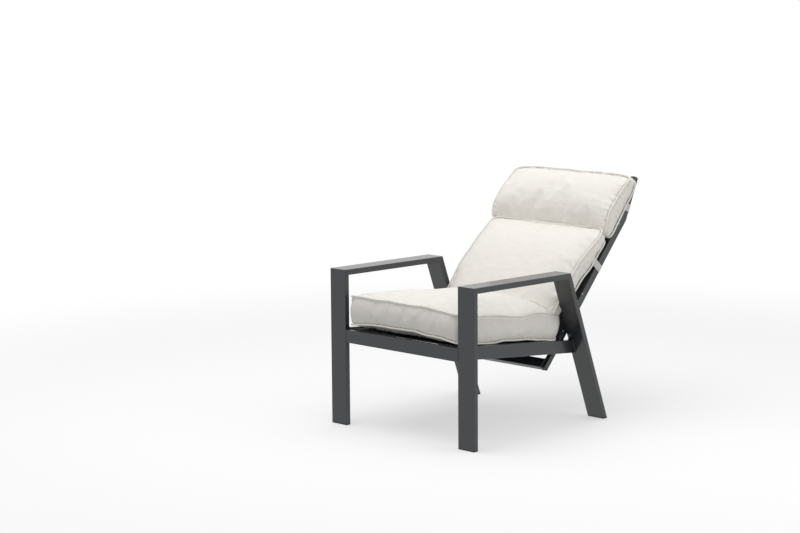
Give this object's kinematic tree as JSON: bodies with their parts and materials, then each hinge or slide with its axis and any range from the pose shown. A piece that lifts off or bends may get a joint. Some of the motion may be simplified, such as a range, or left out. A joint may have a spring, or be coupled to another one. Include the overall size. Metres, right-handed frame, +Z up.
{
  "type": "reclining garden armchair",
  "caption": "Low garden armchair with mitred flat-tube side frames, piped seat and back cushions on woven slings, and a back that reclines on a lockable gas spring.",
  "frame": {"origin": "on the floor under the middle of the chair's overall width and depth, with the back fully reclined", "axes": "+X to the sitter's left, +Y from the front of the seat to the back, +Z up"},
  "size_m": [0.746, 1.0706, 0.9342],
  "materials": {
    "aluminium_powder_coat": "matte anthracite powder coat on aluminium tube",
    "steel_powder_coat": "matte anthracite powder coat on steel",
    "black_plastic": "moulded nylon, slightly grained",
    "zinc_steel": "zinc plated",
    "chromed_rod": "hard chromed and ground",
    "cylinder_paint": "semi-gloss black paint on steel tube",
    "sling_mesh": "coated woven mesh",
    "strap_webbing": "elastic webbing",
    "cushion_fabric": "ivory linen-look outdoor weave with piped seams"
  },
  "bodies": {
    "frame": {"front_leg_left": "aluminium_powder_coat", "front_leg_right": "aluminium_powder_coat", "armrest_left": "aluminium_powder_coat", "armrest_right": "aluminium_powder_coat", "rear_leg_left": "aluminium_powder_coat", "rear_leg_right": "aluminium_powder_coat", "front_foot_left": "black_plastic", "front_foot_right": "black_plastic", "rear_foot_left": "black_plastic", "rear_foot_right": "black_plastic", "seat_rail_left": "aluminium_powder_coat", "seat_rail_right": "aluminium_powder_coat", "pivot_bolt_left": "zinc_steel", "pivot_bolt_right": "zinc_steel", "front_rail": "aluminium_powder_coat", "seat_cross_rail": "aluminium_powder_coat", "seat_sling": "sling_mesh", "seat_sling_splines": "black_plastic", "seat_cushion": "cushion_fabric", "pivot_spacers": "black_plastic", "pivot_washers": "zinc_steel", "pivot_rivet_nuts": "zinc_steel", "spring_front_bracket": "steel_powder_coat", "spring_front_pin": "zinc_steel", "release_shaft_bushes": "black_plastic"},
    "backrest": {"back_rail_left": "aluminium_powder_coat", "back_rail_right": "aluminium_powder_coat", "back_channel_left": "aluminium_powder_coat", "back_channel_right": "aluminium_powder_coat", "back_rail_top_cap_left": "black_plastic", "back_rail_top_cap_right": "black_plastic", "back_rail_bottom_cap_left": "black_plastic", "back_rail_bottom_cap_right": "black_plastic", "pivot_bush_left": "black_plastic", "pivot_bush_right": "black_plastic", "back_bottom_bar": "aluminium_powder_coat", "back_middle_bar": "aluminium_powder_coat", "back_top_bar": "aluminium_powder_coat", "back_sling": "sling_mesh", "back_sling_splines": "black_plastic", "channel_screws": "zinc_steel", "spring_rear_clevis": "steel_powder_coat", "spring_rear_pin": "zinc_steel", "lower_back_cushion": "cushion_fabric", "head_cushion": "cushion_fabric", "lower_strap": "strap_webbing", "upper_strap": "strap_webbing"},
    "gas_rod": {"release_head": "zinc_steel", "gas_spring_rod": "chromed_rod", "gas_spring_piston": "zinc_steel"},
    "gas_cylinder": {"gas_spring_cylinder": "cylinder_paint", "gas_spring_guide": "zinc_steel", "gas_spring_eye": "zinc_steel"},
    "valve": {"valve_pin": "chromed_rod"},
    "lever": {"release_shaft": "steel_powder_coat", "release_rocker": "steel_powder_coat", "release_paddle": "steel_powder_coat", "release_grip": "black_plastic"}
  },
  "joints": [
    {"name": "back_recline", "type": "hinge", "parent": "frame", "child": "backrest", "pos_m": [0, 0.04266, 0.30398], "axis": [1, 0, 0], "range_deg": [0, 22]},
    {"name": "spring_swing", "type": "hinge", "parent": "frame", "child": "gas_rod", "pos_m": [0, -0.45134, 0.332], "axis": [1, 0, 0], "range_deg": [-3.5, 0.5]},
    {"name": "spring_stroke", "type": "slide", "parent": "gas_rod", "child": "gas_cylinder", "axis": [0, 0.9847, -0.1745], "range_m": [-0.001, 0.032]},
    {"name": "release_lever", "type": "hinge", "parent": "frame", "child": "lever", "pos_m": [0, -0.48534, 0.352], "axis": [1, 0, 0], "range_deg": [0, 8], "stiffness_Nm_per_rad": 2, "springref_deg": -11.46},
    {"name": "valve_press", "type": "slide", "parent": "gas_rod", "child": "valve", "axis": [0, 0.9847, -0.1745], "range_m": [-0.0002, 0.0029]}
  ],
  "couplings": [
    {"joint": "spring_swing", "follows": "back_recline", "ratio": -0.138},
    {"joint": "spring_stroke", "follows": "back_recline", "m_per_rad": 0.0705},
    {"joint": "valve_press", "follows": "release_lever", "m_per_rad": 0.02}
  ]
}
